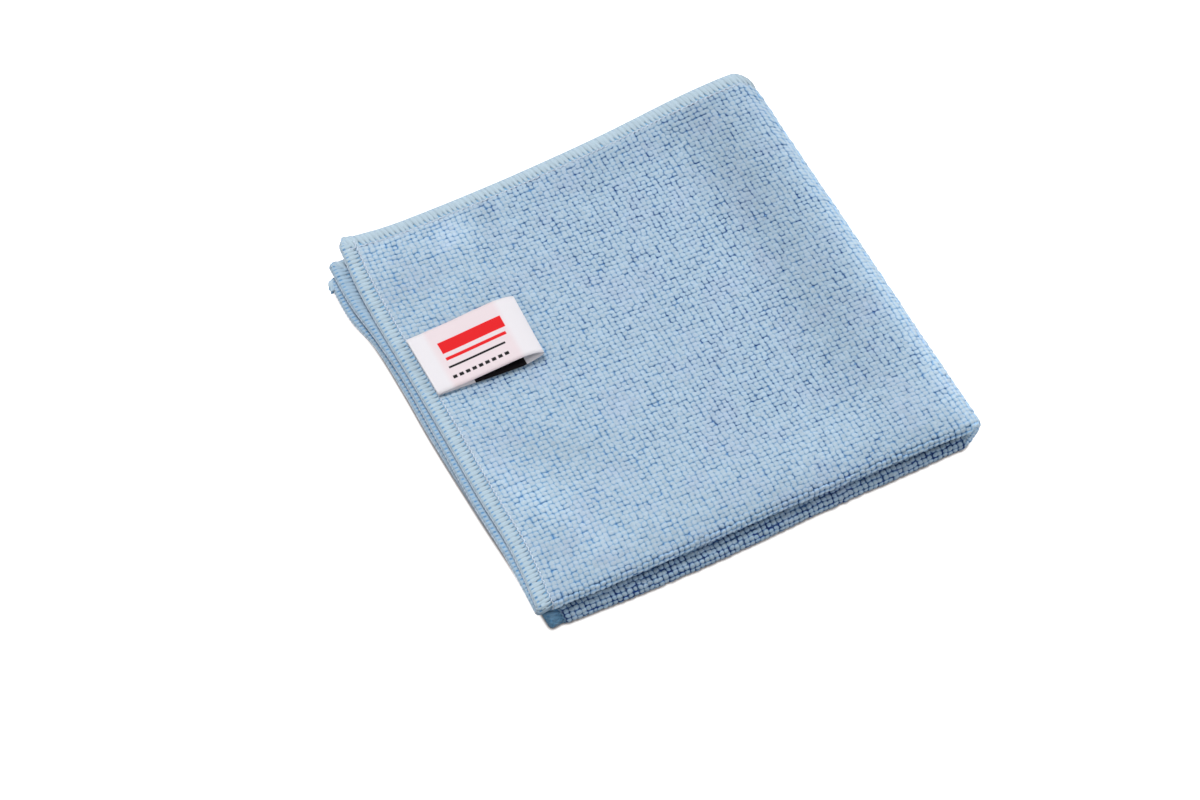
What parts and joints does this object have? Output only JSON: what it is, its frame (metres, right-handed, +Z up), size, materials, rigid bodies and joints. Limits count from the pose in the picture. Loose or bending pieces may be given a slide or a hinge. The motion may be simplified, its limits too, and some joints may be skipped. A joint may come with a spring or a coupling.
{
  "type": "folded microfibre cleaning cloth",
  "caption": "Square terry microfibre cloth with overlocked edges, folded in quarters, with a looped satin label sewn into its open left edge.",
  "frame": {"origin": "centre of the bounding box's base, on the surface that the folded cloth lies on", "axes": "+Z up through the stack of layers, +X along the folded front edge towards the thick right fold, +Y along the open left edge towards the open back edge"},
  "size_m": [0.1869, 0.1888, 0.0172],
  "materials": {
    "terry": "light blue warp-knit microfibre terry, matt and slightly fluffy, small even tufts in rows, lighter overlock thread round the cut edge",
    "satin": null
  },
  "bodies": {
    "root": {"cloth": "terry", "label": "satin"}
  },
  "joints": []
}
